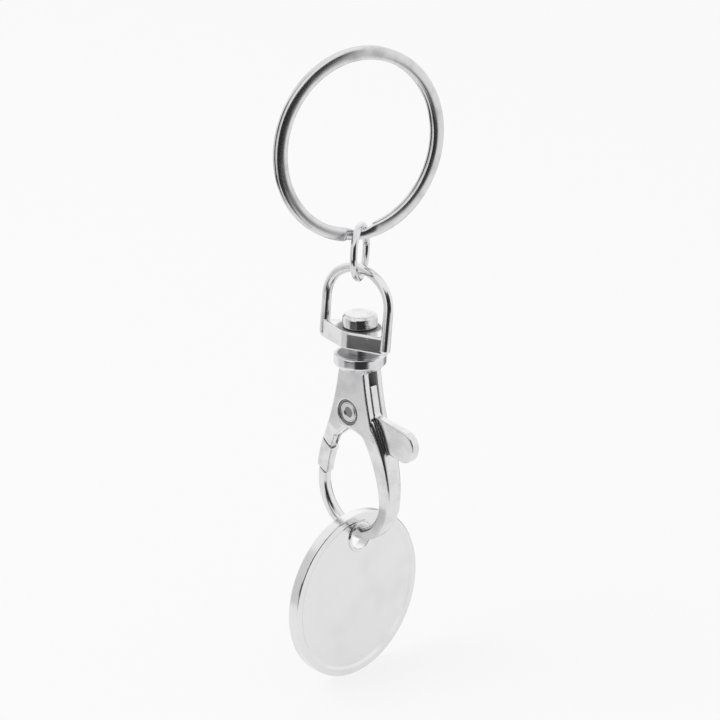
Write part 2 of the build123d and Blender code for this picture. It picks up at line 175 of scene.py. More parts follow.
card_steps = 40
card_rows = 12
card_column = card_rows + 1
card_faces = [(corner, corner + card_column, corner + card_column + 1, corner + 1)
              for step in range(card_steps)
              for corner in range(step * card_column, step * card_column + card_rows)]


def stored_value(tree, name):
    """What a mesh stores for its points under this name, such as how much a card hides what is behind it."""
    return add_node(tree, "ShaderNodeAttribute", attribute_name=name).outputs["Fac"]


for name, start, end, distance, low, high, tone, side_fade, top_fade in (
    ("dark_card", 12, 86, 75, floor_z, 40, 0.03, 12, 20),
    ("ring_card", 66, 112, 76, -56, 40, 0.05, 12, 10),
    ("near_card", -30, 24, 70, -67, -44, 0.05, 9, 4),
    ("grey_card", -72, -4, 90, floor_z, 30, 0.72, 16, 20),
    ("rear_card", 160, 226, 72, floor_z, -54, 0.3, 14, 12),
):
    points = []
    covers = []
    for step in range(card_steps + 1):
        bearing = start + (end - start) * step / card_steps
        foot = distance * direction(radians(bearing), 0)
        for row in range(card_rows + 1):
            height = low + (high - low) * row / card_rows
            points.append((foot.x, foot.y, height))
            fade = min(1, min(bearing - start, end - bearing) / side_fade, (high - height) / top_fade)
            if low > floor_z:
                fade = min(fade, (height - low) / top_fade)
            covers.append(fade * fade * (3 - 2 * fade))
    card_paint = stage_paint(name, ("ShaderNodeBsdfTransparent",), tone,
                             lambda tree: stored_value(tree, "cover"))
    card = stage_sheet(name, points, card_faces, card_paint)
    card.data.attributes.new("cover", "FLOAT", "POINT").data.foreach_set("value", covers)
    card.visible_camera = False
    card.visible_diffuse = False
    card.visible_shadow = False
    card.visible_transmission = False

for name, azimuth, elevation, distance, side, brightness in (
    ("key_lamp", -35, 50, 0.8, 0.5, 1.9),
    ("rear_lamp", 222, 30, 0.9, 0.6, 0.12),
):
    softbox = bpy.data.lights.new(name, "AREA")
    softbox.shape = "SQUARE"
    softbox.size = side
    softbox.energy = brightness * pi * side**2
    lamp = placed(name, softbox)
    aim = direction(radians(azimuth), radians(elevation))
    lamp.location = distance * aim
    lamp.rotation_euler = aim.to_track_quat("Z", "Y").to_euler()
    lamp.visible_glossy = name == "rear_lamp"


# Split ring: hardened wire, rolled flat and wound almost twice round, with nickel plating over all.
# The wire starts on the rear coil, steps across at the bottom, and ends on the front coil.
socket_kinds = {float: "NodeSocketFloat", int: "NodeSocketInt", tuple: "NodeSocketVector"}


def node_group(name, kind, inputs, outputs, output_kind):
    """A node group with named inputs at their usual values and named outputs. Gives its input sockets too."""
    made = bpy.data.node_groups.new(name, kind)
    for label, value in inputs.items():
        kind_of_value = socket_kinds[type(value)]
        socket = made.interface.new_socket(name=label, in_out="INPUT", socket_type=kind_of_value)
        socket.default_value = value
    for label in outputs:
        made.interface.new_socket(name=label, in_out="OUTPUT", socket_type=output_kind)
    return made, add_node(made, "NodeGroupInput").outputs


def noise(tree, place, size, detail):
    """Soft noise whose spots have about this size."""
    return add_node(tree, "ShaderNodeTexNoise", {
        "Vector": place, "Scale": calc(tree, "DIVIDE", 1, size), "Detail": detail}).outputs[0]


def step_between(tree, value, low, high, rise="SMOOTHSTEP"):
    """0 under the low value, 1 over the high one, and an even or smooth rise between them."""
    made = add_node(tree, "ShaderNodeMapRange", {"Value": value, "From Min": low, "From Max": high},
                    interpolation_type=rise)
    return made.outputs["Result"]


def vector(tree, **parts):
    """A vector from its X, Y and Z."""
    return add_node(tree, "ShaderNodeCombineXYZ", parts).outputs[0]


plating, given = node_group("plating", "ShaderNodeTree", {
    "Place": (0, 0, 0), "Relief": 0.0, "Cloud size": 3.0, "Ripple size": 0.9, "Pits": 0.02, "Scratches": 0.5,
}, ("Dullness and shade", "Haze", "Height"), "NodeSocketFloat")
hair_slant = (0.5, 0.9, 0.4)
hair_stretch = (3.2, 0.16, 3.2)
hair_depth = 0.12
hair_haze = 0.5
pit_cells_per_mm = 1.6
pit_depth = 2.5
pit_dullness = 0.7
corner_painted_shade = 0.6
stain_dullness = 0.45
stain_haze = 0.7
clouds = noise(plating, given["Place"], given["Cloud size"], 4)
ripple = noise(plating, given["Place"], given["Ripple size"], 1)
slant = add_node(plating, "ShaderNodeMapping", {
    "Vector": given["Place"], "Rotation": hair_slant, "Scale": hair_stretch})
hairs = calc(plating, "ABSOLUTE", calc(plating, "SUBTRACT", noise(plating, slant.outputs[0], 1, 2), 0.5))
hairs = calc(plating, "SUBTRACT", 1, step_between(plating, hairs, 0.002, 0.009))
hairs = calc(plating, "MULTIPLY", hairs, step_between(plating, clouds, 0.45, 0.62))
hairs = calc(plating, "MULTIPLY", hairs, given["Scratches"])
cells = add_node(plating, "ShaderNodeTexVoronoi", {
    "Vector": given["Place"], "Scale": pit_cells_per_mm}).outputs
chance = add_node(plating, "ShaderNodeSeparateColor", {0: cells["Color"]})
pitted = calc(plating, "LESS_THAN", chance.outputs[0], given["Pits"])
pits = calc(plating, "SUBTRACT", 1, step_between(plating, cells["Distance"], 0.04, 0.13))
pits = calc(plating, "MULTIPLY", pits, pitted)
edges = step_between(plating, given["Relief"], 0.01, 0.08)
# Painted shade: points that lie in a corner are darkened towards the dull tone, standing in for the shade
# that falls there.
corners = step_between(plating, calc(plating, "MULTIPLY", given["Relief"], -1), 0.01, 0.09)
stains = step_between(plating, clouds, 0.42, 0.75)
dull_and_shade = calc(plating, "MULTIPLY", stains, calc(plating, "SUBTRACT", 1, edges))
corners = calc(plating, "MULTIPLY", corners, corner_painted_shade)
dull_and_shade = calc(plating, "MULTIPLY_ADD", dull_and_shade, stain_dullness, corners)
dull_and_shade = calc(plating, "MAXIMUM", dull_and_shade, calc(plating, "MULTIPLY", pits, pit_dullness))
haze = calc(plating, "MULTIPLY_ADD", hairs, hair_haze, calc(plating, "MULTIPLY", stains, stain_haze))
height = calc(plating, "SUBTRACT", ripple, calc(plating, "MULTIPLY", pits, pit_depth))
add_node(plating, "NodeGroupOutput", {
    "Dullness and shade": calc(plating, "MINIMUM", dull_and_shade, 1),
    "Haze": calc(plating, "MINIMUM", haze, 1),
    "Height": calc(plating, "SUBTRACT", height, calc(plating, "MULTIPLY", hairs, hair_depth)),
})
mark_dullness = 0.25
mark_haze = 0.3
painted_shade_tone_share = 0.6
raw_roughness = 0.3


def plated(name, bright, dull_and_shade, smooth, hazy, waviness, marks=None, mark_height=0.0, **settings):
    """Plated metal: its bright and dull tones, the dull one also used for painted shade, its roughness where
    clear and hazy, and its ripples in mm.
    """
    made = bpy.data.materials.new(name)
    made.use_nodes = True
    tree = made.node_tree
    place = add_node(tree, "ShaderNodeMapping", {
        "Vector": add_node(tree, "ShaderNodeTexCoord").outputs["Object"],
        "Scale": (1 / metres_per_mm,) * 3}).outputs[0]
    surface = add_node(tree, "ShaderNodeGroup", {
        "Place": place,
        "Relief": stored_value(tree, "relief"),
        **{setting.replace("_", " "): value for setting, value in settings.items()},
    }, node_tree=plating).outputs
    lines = marks(tree, place) if marks else 0
    dulled_and_shaded = calc(tree, "MULTIPLY_ADD", lines, mark_dullness, surface["Dullness and shade"])
    tone = add_node(tree, "ShaderNodeMix", {0: dulled_and_shaded, 6: (*bright, 1), 7: (*dull_and_shade, 1)}, data_type="RGBA")
    # Painted shade: where a mesh marks it, the tone falls to a share of the dull tone, and the metal is also
    # made rougher there.
    painted_shade_mask = stored_value(tree, "painted_shade")
    painted_shade_tone = (*(painted_shade_tone_share * part for part in dull_and_shade), 1)
    colour = add_node(tree, "ShaderNodeMix", {0: painted_shade_mask, 6: tone.outputs[2], 7: painted_shade_tone}, data_type="RGBA")
    spread = calc(tree, "MULTIPLY_ADD", lines, mark_haze, surface["Haze"])
    rough = calc(tree, "MULTIPLY_ADD", spread, hazy - smooth, smooth)
    height = calc(tree, "MULTIPLY", surface["Height"], waviness)
    height = calc(tree, "MULTIPLY_ADD", lines, mark_height, height)
    bump = add_node(tree, "ShaderNodeBump", {"Distance": metres_per_mm, "Height": height})
    shader = tree.nodes["Principled BSDF"].inputs
    tree.links.new(colour.outputs[2], shader["Base Color"])
    tree.links.new(calc(tree, "MULTIPLY_ADD", painted_shade_mask, raw_roughness, rough), shader["Roughness"])
    tree.links.new(bump.outputs[0], shader["Normal"])
    shader["Metallic"].default_value = 1
    return made


wire, given = node_group("ring_wire", "GeometryNodeTree", {
    "Outer radius": 12.5, "Wire width": 1.7, "Wire thickness": 0.6, "Squareness": 2.0, "Coil spacing": 0.0,
    "Start angle": 0.0, "End angle": 2 * pi, "Crossing start": -2.0, "Crossing end": -1.0,
    "Crossing width": 1.2, "End bevel": 0.1, "Stations": 360, "Section points": 41, "Yaw": 0.0, "Height": 0.0,
}, ("Geometry",), "NodeSocketGeometry")
grid = add_node(wire, "GeometryNodeMeshGrid", {
    "Vertices X": given["Stations"], "Vertices Y": given["Section points"]})
place = add_node(wire, "ShaderNodeSeparateXYZ", {0: add_node(wire, "GeometryNodeInputPosition").outputs[0]})
along = calc(wire, "ADD", place.outputs["X"], 0.5)
around = calc(wire, "ADD", place.outputs["Y"], 0.5)
last = calc(wire, "SUBTRACT", given["Stations"], 1)
row = calc(wire, "ROUND", calc(wire, "MULTIPLY", along, last))
row_from_end = calc(wire, "MINIMUM", row, calc(wire, "SUBTRACT", last, row))
share = calc(wire, "DIVIDE", calc(wire, "SUBTRACT", row, 1), calc(wire, "SUBTRACT", last, 2))
share = calc(wire, "MINIMUM", calc(wire, "MAXIMUM", share, 0), 1)
sweep = calc(wire, "SUBTRACT", given["End angle"], given["Start angle"])
angle = calc(wire, "MULTIPLY_ADD", share, sweep, given["Start angle"])
crossing, eased_crossing = (
    step_between(wire, angle, given["Crossing start"], given["Crossing end"], rise)
    for rise in ("LINEAR", "SMOOTHSTEP"))
waist = calc(wire, "SINE", calc(wire, "MULTIPLY", crossing, pi))
waist = calc(wire, "MULTIPLY", waist, waist)
narrowing = calc(wire, "SUBTRACT", given["Wire width"], given["Crossing width"])
width = calc(wire, "SUBTRACT", given["Wire width"], calc(wire, "MULTIPLY", waist, narrowing))
side_shift = calc(wire, "MULTIPLY", given["Coil spacing"], calc(wire, "SUBTRACT", eased_crossing, 0.5))
inset = calc(wire, "MULTIPLY", calc(wire, "LESS_THAN", row_from_end, 1.5), given["End bevel"])
full = calc(wire, "GREATER_THAN", row_from_end, 0.5)
half_step = calc(wire, "DIVIDE", pi, calc(wire, "SUBTRACT", given["Section points"], 1))
turn = calc(wire, "MULTIPLY_ADD", around, 2 * pi, half_step)
power = calc(wire, "DIVIDE", 2, given["Squareness"])


def section_reach(size, across):
    """Distance of the oval section's edge from its middle, along one of its two axes."""
    reach = calc(wire, "SUBTRACT", calc(wire, "MULTIPLY", size, 0.5), inset)
    share = calc(wire, "POWER", calc(wire, "ABSOLUTE", across), power)
    signed = calc(wire, "MULTIPLY", share, calc(wire, "SIGN", across))
    return calc(wire, "MULTIPLY", calc(wire, "MULTIPLY", signed, reach), full)


reach_out = section_reach(width, calc(wire, "COSINE", turn))
reach_side = section_reach(given["Wire thickness"], calc(wire, "SINE", turn))
middle = calc(wire, "SUBTRACT", given["Outer radius"], calc(wire, "MULTIPLY", width, 0.5))
radius = calc(wire, "ADD", middle, reach_out)
wire_run = vector(wire, X=calc(wire, "MULTIPLY", angle, given["Outer radius"]),
                  Y=calc(wire, "MULTIPLY", around, given["Wire width"]))
stored = add_node(wire, "GeometryNodeStoreNamedAttribute", {
    "Geometry": grid.outputs["Mesh"], "Name": "wire_run", "Value": wire_run,
}, data_type="FLOAT2", domain="CORNER")
formed = add_node(wire, "GeometryNodeSetPosition", {
    "Geometry": stored.outputs["Geometry"],
    "Position": vector(wire, X=calc(wire, "MULTIPLY", radius, calc(wire, "COSINE", angle)),
                       Y=calc(wire, "MULTIPLY", radius, calc(wire, "SINE", angle)),
                       Z=calc(wire, "ADD", side_shift, reach_side)),
})
closed = add_node(wire, "GeometryNodeMergeByDistance", {
    "Geometry": formed.outputs["Geometry"], "Distance": 0.001})


def finish_form(tree, shell, rotation, translation):
    """Ends a form's tree: the shell is shaded smooth, put in its place and given its material."""
    smooth = add_node(tree, "GeometryNodeSetShadeSmooth", {"Geometry": shell})
    laid = add_node(tree, "GeometryNodeTransform", {
        "Geometry": smooth.outputs[0], "Rotation": rotation, "Translation": translation})
    real = add_node(tree, "GeometryNodeRealizeInstances", {"Geometry": laid.outputs[0]})
    finish = add_node(tree, "GeometryNodeSetMaterial", {"Geometry": real.outputs[0]})
    add_node(tree, "NodeGroupOutput", {"Geometry": finish.outputs[0]})


finish_form(wire, closed.outputs["Geometry"], vector(wire, X=pi / 2, Z=given["Yaw"]),
            vector(wire, Z=given["Height"]))


def worked(maker):
    """Plain mesh of an object with its modifiers done. The object is removed."""
    mesh = bpy.data.meshes.new_from_object(maker.evaluated_get(bpy.context.evaluated_depsgraph_get()))
    bpy.data.objects.remove(maker)
    return mesh


def run_tree(tree, sizes, material):
    """Mesh that a node tree makes with its sizes, in millimetres."""
    for step in tree.nodes:
        if step.bl_idname == "GeometryNodeSetMaterial":
            step.inputs["Material"].default_value = material
    maker = placed("maker", bpy.data.meshes.new("maker"))
    modifier = maker.modifiers.new("form", "NODES")
    modifier.node_group = tree
    for item in tree.interface.items_tree:
        if item.in_out == "INPUT" and item.name in sizes:
            modifier[item.identifier] = sizes[item.name]
    return worked(maker)


def hand_over(name, mesh, body, node):
    """The finished piece, in metres, rides on its body and stands for its CAD node, which it hides."""
    build = bmesh.new()
    build.from_mesh(mesh)
    bmesh.ops.scale(build, vec=(metres_per_mm,) * 3, verts=build.verts)
    if build.calc_volume(signed=True) < 0:
        bmesh.ops.reverse_faces(build, faces=build.faces)
    build.to_mesh(mesh)
    build.free()
    piece = placed(name, mesh)
    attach(piece, body)
    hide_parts(node)
    return piece


streak_stretch = (0.07, 5.0, 1.0)


def rolled_streaks(tree, place):
    """Streaks that the rolls leave along a wire, which lie by its own run and not by their place."""
    run = add_node(tree, "ShaderNodeUVMap", uv_map="wire_run").outputs[0]
    stretch = add_node(tree, "ShaderNodeMapping", {"Vector": run, "Scale": streak_stretch})
    return step_between(tree, noise(tree, stretch.outputs[0], 1, 3), 0.35, 0.7)


spring_steel = plated("spring_steel_plated", bright=(0.76, 0.76, 0.77), dull_and_shade=(0.50, 0.50, 0.51), smooth=0.19,
                      hazy=0.30, waviness=0.002, marks=rolled_streaks, mark_height=0.003, Cloud_size=2.2,
                      Pits=0.01)
split_outer_radius = 12.55
split_wire_width = 1.68
split_centre_z = split_wire_width - split_outer_radius
crossing_start = radians(258.7)
crossing_end = radians(281.3)
split_mesh = run_tree(wire, {
    "Outer radius": split_outer_radius,
    "Wire width": split_wire_width,
    "Wire thickness": 0.64,
    "Squareness": 2.2,
    "Coil spacing": 0.69,
    "Start angle": crossing_end - 2 * pi,
    "End angle": crossing_start + 2 * pi,
    "Crossing start": crossing_start,
    "Crossing end": crossing_end,
    "Crossing width": 1.2,
    "Stations": 480,
    "Yaw": radians(76.1),
    "Height": split_centre_z,
}, spring_steel)
hand_over("key_ring", split_mesh, "ring", "split_ring")


# Jump ring: round drawn wire, bent to a ring and closed to a butt seam.
# It hangs on the split ring where that steps across, and carries the swivel eye.
wire_steel = plated("wire_steel_plated", bright=(0.76, 0.76, 0.77), dull_and_shade=(0.54, 0.54, 0.55), smooth=0.14,
                    hazy=0.25, waviness=0.002, marks=rolled_streaks, mark_height=0.002, Cloud_size=1.6,
                    Pits=0.01)
jump_inner_radius = 2.92
jump_wire = 0.95
jump_seam = 0.04
jump_centre_z = -25.04
jump_seam_angle = jump_seam / (jump_inner_radius + jump_wire / 2)
jump_mesh = run_tree(wire, {
    "Outer radius": jump_inner_radius + jump_wire,
    "Wire width": jump_wire,
    "Wire thickness": jump_wire,
    "Crossing width": jump_wire,
    "Start angle": jump_seam_angle / 2,
    "End angle": 2 * pi - jump_seam_angle / 2,
    "End bevel": 0.02,
    "Stations": 160,
    "Yaw": radians(119.6),
    "Height": jump_centre_z,
}, wire_steel)
hand_over("link_ring", jump_mesh, "link", "jump_ring")


# Swivel eye: a bent round bar with a pierced flat plate between its feet, die cast in one,
# tumbled until its edges are round, and plated. It leans back a little from the jump ring.
def lofted(loops, comes_round=False):
    """Closed shell through a row of closed loops, with flat ends or coming round to its first loop."""
    count = len(loops[0])
    rows = len(loops)
    points = [point for loop in loops for point in loop]
    faces = [] if comes_round else [tuple(range(count)), tuple(range(len(points) - count, len(points)))]
    for row in range(rows if comes_round else rows - 1):
        after = (row + 1) % rows
        for step in range(count):
            beside = (step + 1) % count
            faces.append((row * count + step, row * count + beside,
                          after * count + beside, after * count + step))
    mesh = bpy.data.meshes.new("shell")
    mesh.from_pydata(points, [], faces)
    build = bmesh.new()
    build.from_mesh(mesh)
    bmesh.ops.recalc_face_normals(build, faces=build.faces)
    build.to_mesh(mesh)
    build.free()
    return mesh


def arc_between(centre, radius, start, end, steps):
    """Points of a flat arc, its angles in radians."""
    return [(centre[0] + radius * cos(start + (end - start) * step / steps),
             centre[1] + radius * sin(start + (end - start) * step / steps)) for step in range(steps + 1)]


def circle(centre, radius, steps):
    """Points of a flat circle."""
    return arc_between(centre, radius, 0, 2 * pi, steps)[:-1]


def level_circle(centre, radius, z, steps):
    """Points of a circle at one height."""
    return [Vector((x, y, z)) for x, y in circle(centre, radius, steps)]


def rod(centre, radius, low, high, steps=64):
    """Upright round shell between two heights."""
    return lofted([level_circle(centre, radius, z, steps) for z in (low, high)])


def between(start, end, share):
    """Value at a share of the way from one size to another."""
    return start + share * (end - start)


def combined(operation, mesh, *tools):
    """Mesh after each tool is taken from it, or after only what lies in each tool is kept."""
    maker = placed("maker", mesh)
    helpers = [placed("tool", tool) for tool in tools]
    for helper in helpers:
        step = maker.modifiers.new("step", "BOOLEAN")
        step.operation = operation
        step.solver = "EXACT"
        step.object = helper
    result = worked(maker)
    for helper in helpers:
        bpy.data.objects.remove(helper)
    return result


def edge_rounded(mesh, size, segments=3, least_angle=radians(50)):
    """Mesh with its sharp edges rounded."""
    maker = placed("maker", mesh)
    rounding = maker.modifiers.new("rounding", "BEVEL")
    rounding.width = size
    rounding.segments = segments
    rounding.limit_method = "ANGLE"
    rounding.angle_limit = least_angle
    return worked(maker)


def coated(mesh, material):
    """Mesh with this one material."""
    mesh.materials.clear()
    mesh.materials.append(material)
    return mesh


def tumbled(shells, grain, passes, material):
    """One casting from overlapping shells: fused on a fine grid and worn smooth."""
    build = bmesh.new()
    for shell in shells:
        build.from_mesh(shell)
    mesh = bpy.data.meshes.new("casting")
    build.to_mesh(mesh)
    build.free()
    maker = placed("maker", mesh)
    fusing = maker.modifiers.new("fusing", "REMESH")
    fusing.mode = "VOXEL"
    fusing.voxel_size = grain
    fusing.use_smooth_shade = True
    wearing = maker.modifiers.new("wearing", "SMOOTH")
    wearing.factor = 0.5
    wearing.iterations = passes
    casting = coated(worked(maker), material)
    mark_relief(casting)
    return casting


def point_values(mesh, kind):
    """Place or normal of each point, as rows of three."""
    values = np.empty(len(mesh.vertices) * 3)
    mesh.vertices.foreach_get(kind, values)
    return values.reshape(-1, 3)


def mark(mesh, name, values):
    """Stores one value for each point."""
    mesh.attributes.new(name, "FLOAT", "POINT").data.foreach_set("value", values.astype(np.float32))


def mark_relief(mesh):
    """Stores how far each point stands out, over 0, or lies in a corner, under 0."""
    count = len(mesh.vertices)
    places = point_values(mesh, "co")
    normals = point_values(mesh, "normal")
    ends = np.empty(len(mesh.edges) * 2, dtype=np.int64)
    mesh.edges.foreach_get("vertices", ends)
    first, second = ends.reshape(-1, 2).T
    spans = places[second] - places[first]
    lengths = np.linalg.norm(spans, axis=1)
    near = np.maximum(np.bincount(ends, minlength=count), 1)
    lean = np.bincount(first, -(spans * normals[first]).sum(1) / lengths, count)
    lean += np.bincount(second, (spans * normals[second]).sum(1) / lengths, count)
    relief = lean / near
    for _ in range(2):
        spread = np.bincount(first, relief[second], count) + np.bincount(second, relief[first], count)
        relief = 0.5 * relief + 0.5 * spread / near
    mark(mesh, "relief", relief)


cast_nickel = plated("cast_nickel_plated", bright=(0.78, 0.78, 0.79), dull_and_shade=(0.52, 0.52, 0.53), smooth=0.17,
                     hazy=0.28, waviness=0.004, Cloud_size=2.6, Ripple_size=1.1, Pits=0.3)
tree = cast_nickel.node_tree
polish = calc(tree, "SUBTRACT", 1, stored_value(tree, "matt"))
tree.links.new(polish, tree.nodes["Principled BSDF"].inputs["Metallic"])
eye_wire_radius = 0.635
eye_half_width = 5.44
eye_shoulder_radius = 4.15
eye_shoulder_drop = 4.59
eye_height = 10.28
eye_lean = radians(6.2)
eye_apex_z = -27.255
plate_bottom_z = eye_apex_z - eye_height
plate_thickness = 2.39
plate_top_z = plate_bottom_z + plate_thickness
plate_boss_radius = 3.01
plate_foot_radius = 0.42
plate_edge_round = 0.25
plate_draft = 0.17
plate_bore_radius = 1.52

shoulder_x = eye_half_width - eye_shoulder_radius
rise = eye_shoulder_radius - eye_shoulder_drop
crown_radius = (eye_shoulder_radius**2 - shoulder_x**2 - eye_shoulder_drop**2) / (2 * rise)
crown_turn = asin(shoulder_x / (crown_radius - eye_shoulder_radius))
foot_z = eye_wire_radius - eye_height
foot_dome_turn = pi / 2 * 30 / 31
half_route = []
for step in range(9):
    bend = crown_turn * step / 8
    half_route.append((crown_radius * sin(bend), crown_radius * (cos(bend) - 1), bend, 1))
for step in range(1, 33):
    bend = between(crown_turn, pi / 2, step / 32)
    half_route.append((shoulder_x + eye_shoulder_radius * sin(bend),
                       eye_shoulder_radius * cos(bend) - eye_shoulder_drop, bend, 1))
for step in range(1, 9):
    half_route.append((eye_half_width, between(-eye_shoulder_drop, foot_z, step / 8), pi / 2, 1))
for step in range(1, 7):
    fall = foot_dome_turn * step / 6
    half_route.append((eye_half_width, foot_z - eye_wire_radius * sin(fall), pi / 2, cos(fall)))
loops = []
other_half = [(-x, z, -bend, share) for x, z, bend, share in reversed(half_route[1:])]
for x, z, bend, share in other_half + half_route:
    loop = []
    for outwards, back in circle((0, 0), eye_wire_radius * share, 40):
        up = z + outwards * cos(bend)
        loop.append(Vector((x + outwards * sin(bend), back * cos(eye_lean) + up * sin(eye_lean),
                            eye_apex_z + up * cos(eye_lean) - back * sin(eye_lean))))
    loops.append(loop)
eye_bar = lofted(loops)

foot_y = -eye_height * sin(eye_lean)
foot_reach = hypot(eye_half_width, foot_y)
foot_bearing = atan2(foot_y, eye_half_width)
touch = acos((plate_boss_radius - plate_foot_radius) / foot_reach)
front_touch, rear_touch = foot_bearing - touch, foot_bearing + touch
outline = arc_between((eye_half_width, foot_y), plate_foot_radius, front_touch, rear_touch, 10)
outline += arc_between((0, 0), plate_boss_radius, rear_touch, pi - rear_touch, 24)
outline += arc_between((-eye_half_width, foot_y), plate_foot_radius, pi - rear_touch, pi - front_touch, 10)
outline += arc_between((0, 0), plate_boss_radius, pi - front_touch, 2 * pi + front_touch, 24)
plate = lofted([[Vector((x * share, y * share, z)) for x, y in outline]
                for z, share in ((plate_bottom_z, 1), (plate_top_z, 1 - plate_draft / plate_boss_radius))])
plate = edge_rounded(plate, plate_edge_round)
plate = combined("DIFFERENCE", plate, rod((0, 0), plate_bore_radius, plate_bottom_z - 1, plate_top_z + 1))
eye_mesh = tumbled([eye_bar, plate], 0.06, 4, cast_nickel)
# Painted shade: the plate's top is darkened round and under the swivel rivet's head, where shade falls.
pin_shade_radius = 3.3
pin_shade_fade = 0.5
places = point_values(eye_mesh, "co")
near_pin = np.clip((pin_shade_radius - np.hypot(places[:, 0], places[:, 1])) / pin_shade_fade, 0, 1)
facing_up = point_values(eye_mesh, "normal")[:, 2] > 0.8
on_plate = abs(places[:, 2] - plate_top_z) < 0.1
mark(eye_mesh, "painted_shade", near_pin * facing_up * on_plate)
hand_over("swivel_loop", eye_mesh, "eye", "swivel_eye")


# Swivel rivet: turned from bar and plated. Its head stands over the eye's plate, which turns round its
# shank, and its tail is pressed into the hook's flange.
def turned_rings(tree, place):
    """Fine rings that the tool leaves round the swivel rivet's upright axis."""
    flat = add_node(tree, "ShaderNodeVectorMath", {0: place, 1: (1, 1, 0)}, operation="MULTIPLY")
    reach = add_node(tree, "ShaderNodeVectorMath", {0: flat.outputs[0]}, operation="LENGTH")
    return step_between(tree, noise(tree, vector(tree, X=reach.outputs["Value"]), 0.11, 2), 0.35, 0.65)


turned_steel = plated("turned_steel_plated", bright=(0.80, 0.80, 0.81), dull_and_shade=(0.52, 0.52, 0.53), smooth=0.13,
                      hazy=0.24, waviness=0.003, marks=turned_rings, mark_height=0.003, Cloud_size=1.4,
                      Pits=0.03)


def rounded_profile(corners, steps=4):
    """Profile through its corners, each given as radius, height and how round it is."""
    points = []
    for index, (x, z, size) in enumerate(corners):
        here = Vector((x, z))
        if size == 0:
            points.append(here)
            continue
        before = (Vector(corners[index - 1][:2]) - here).normalized()
        after = (Vector(corners[(index + 1) % len(corners)][:2]) - here).normalized()
        half_angle = before.angle(after) / 2
        middle = here + (before + after).normalized() * size / sin(half_angle)
        start = here + before * size / tan(half_angle) - middle
        end = here + after * size / tan(half_angle) - middle
        first = atan2(start.y, start.x)
        sweep = (atan2(end.y, end.x) - first + pi) % (2 * pi) - pi
        points += arc_between(middle, size, first, first + sweep, steps)
    return points


def lathe(corners, steps=128):
    """Solid turned about Z. Its corners start and end on the axis, where a tiny flat closes it."""
    least_radius = 0.02
    return lofted([level_circle((0, 0), max(radius, least_radius), z, steps)
                   for radius, z in rounded_profile(corners)])


def crisp(mesh, material):
    """Mesh with its flats kept flat, so that only its rounded edges shade round."""
    maker = placed("maker", mesh)
    for face in mesh.polygons:
        face.use_smooth = True
    weighing = maker.modifiers.new("weighing", "WEIGHTED_NORMAL")
    weighing.mode = "FACE_AREA"
    weighing.weight = 100
    return coated(worked(maker), material)


flange_drop = 1.2
flange_top_z = plate_bottom_z - flange_drop
swivel_head_radius = 2.3
swivel_head_height = 1.66
swivel_head_slope = 0.36
swivel_head_gap = 0.12
swivel_shank_radius = 1.45
swivel_tail_radius = 0.88
swivel_tail_length = 1.76
swivel_tail_z = flange_top_z - swivel_tail_length
head_bottom_z = plate_top_z + swivel_head_gap
head_top_z = head_bottom_z + swivel_head_height
swivel_mesh = crisp(lathe([
    (0, swivel_tail_z, 0),
    (swivel_tail_radius, swivel_tail_z, 0.1),
    (swivel_tail_radius, flange_top_z, 0.05),
    (swivel_shank_radius, flange_top_z, 0.05),
    (swivel_shank_radius, head_bottom_z, 0.05),
    (swivel_head_radius, head_bottom_z, 0.12),
    (swivel_head_radius, head_top_z - swivel_head_slope, 0.25),
    (swivel_head_radius - swivel_head_slope, head_top_z, 0.25),
    (0, head_top_z, 0),
]), turned_steel)
hand_over("swivel_pin", swivel_mesh, "hook", "swivel_rivet")


# Snap hook body: flange, slotted block, short arm and the long bar bent to a hook, die cast in one.
# The bar is thick at the block and thins towards the nose. Tumbling has rounded every edge.
def at(x, depth):
    """Point of the front view, its depth taken from the flange's top."""
    return (x, flange_top_z - depth)


def slab(outline, thickness, middle_y=0):
    """Flat shell from a front view outline, half of its thickness on each side of a plane."""
    return lofted([[Vector((x, y, z)) for x, z in outline]
                   for y in (middle_y - thickness / 2, middle_y + thickness / 2)])


def arc_through(start, middle, end, steps=24):
    """Points of the flat arc, under half a turn, through three points."""
    first, second, third = complex(*start), complex(*middle), complex(*end)
    ratio = (third - first) / (second - first)
    centre = first + (second - first) * (ratio - abs(ratio) ** 2) / (ratio - ratio.conjugate())
    turn = phase(first - centre)
    sweep = phase((third - centre) / (first - centre))
    return arc_between((centre.real, centre.imag), abs(first - centre), turn, turn + sweep, steps)


def turned(profile, steps=96):
    """Ring turned about Z from a closed profile of radius and height, all of it off the axis."""
    return lofted([level_circle((0, 0), radius, z, steps) for radius, z in profile], comes_round=True)


hook_centre_x = -0.57
hook_centre_z = flange_top_z - 19.56
hook_radius = 5.92
spine_bend_radius = 18.68
spine_root_rise = 9.34
spine_run_in = radians(7)
spine_root_width = 2.75
spine_end_width = 2.08
spine_end_thickness = 2.39
spine_corner_share = 0.2
hook_bottom_width = 1.68
hook_bottom_thickness = 1.68
nose_bend_radius = 16.61
nose_width = 1.54
nose_thickness = 1.51
nose_end_angle = asin(3.45 / nose_bend_radius)
bar_corner_share = 0.4
pivot_x = -0.65
pivot_z = flange_top_z - 8.09
block_thickness = 3.43
gate_top_radius = 7.39
gate_bottom_radius = 11.47
gate_seam = 0.15


def pivot_disc(radius, thickness, steps=128):
    """Disc about the lever's pivot axis."""
    return slab(circle((pivot_x, pivot_z), radius, steps), thickness)


